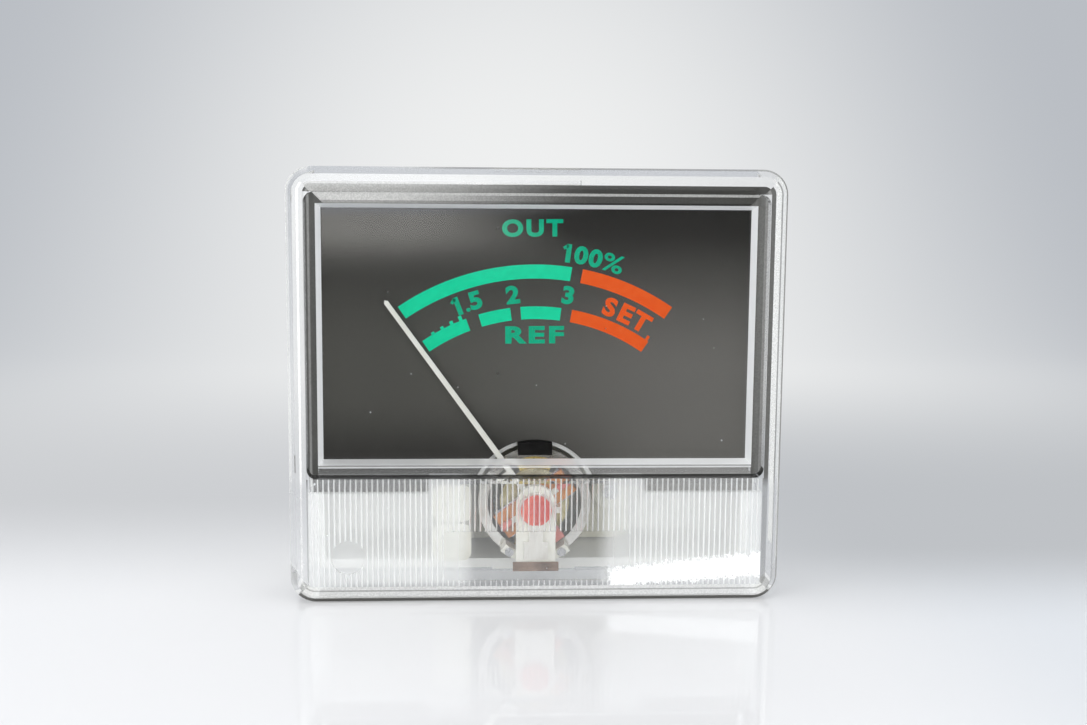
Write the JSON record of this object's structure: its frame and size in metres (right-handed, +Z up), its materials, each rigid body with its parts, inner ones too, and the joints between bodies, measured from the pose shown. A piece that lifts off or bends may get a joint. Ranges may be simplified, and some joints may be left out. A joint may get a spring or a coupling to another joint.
{
  "type": "panel meter",
  "caption": "Moving-coil panel meter with a clear cover, a stepped window over an arc scale, and a ribbed lower panel in front of the movement.",
  "frame": {"origin": "centre of the bezel in the plane of its back rim, which seats on the panel", "axes": "+X right and +Z up as seen from the front, +Y back through the panel"},
  "size_m": [0.055, 0.0287, 0.0486],
  "materials": {
    "clear_plastic": "gloss",
    "white_plastic": "satin",
    "white_diffuser": "satin",
    "smoked_dial": "satin",
    "bright_steel": "satin",
    "magnet": "satin",
    "brass": "satin",
    "aluminium": "satin",
    "copper_wire": "gloss",
    "pivot_steel": "gloss",
    "jewel": "polished",
    "red_lacquer": "gloss",
    "cream_pointer": "satin",
    "weight_lacquer": "gloss",
    "bridge_plastic": "satin",
    "spring_bronze": "gloss",
    "nickel_lever": "satin",
    "bronze_strip": "satin",
    "tinned_brass": "satin",
    "black_rubber": "matte",
    "bulb_glass": "gloss",
    "screw_steel": "satin"
  },
  "bodies": {
    "case": {"front_cover": "clear_plastic", "rear_housing": "white_plastic", "dial_carrier": "white_diffuser", "dial_plate": "smoked_dial", "movement_frame": "white_plastic", "yoke_ring": "bright_steel", "core_magnet": "magnet", "core_supports": "brass", "front_jewel": "jewel", "rear_jewel": "jewel", "front_jewel_screw": "red_lacquer", "rear_jewel_screw": "brass", "front_bridge": "bridge_plastic", "bridge_screws": "pivot_steel", "rear_hairspring": "spring_bronze", "rear_spring_tag": "brass", "front_contact_strip": "bronze_strip", "positive_terminal": "tinned_brass", "negative_terminal": "tinned_brass", "lamp_holder": "black_rubber", "lamp_bulb": "bulb_glass", "lamp_pins": "tinned_brass", "frame_screws": "screw_steel"},
    "moving_coil": {"coil_former": "aluminium", "coil_winding": "copper_wire", "front_pivot": "pivot_steel", "rear_pivot": "pivot_steel", "pointer": "cream_pointer", "balance_weights": "weight_lacquer"},
    "zero_adjuster": {"zero_lever": "nickel_lever", "front_hairspring": "spring_bronze"}
  },
  "joints": [
    {"name": "coil_swing", "type": "hinge", "parent": "case", "child": "moving_coil", "pos_m": [0, 0.0005, -0.01406], "axis": [0, 1, 0], "range_deg": [-2, 74], "stiffness_Nm_per_rad": 0.000001},
    {"name": "zero_adjust", "type": "hinge", "parent": "case", "child": "zero_adjuster", "pos_m": [0, -0.0069, -0.01406], "axis": [0, 1, 0], "range_deg": [-12, 12]}
  ]
}
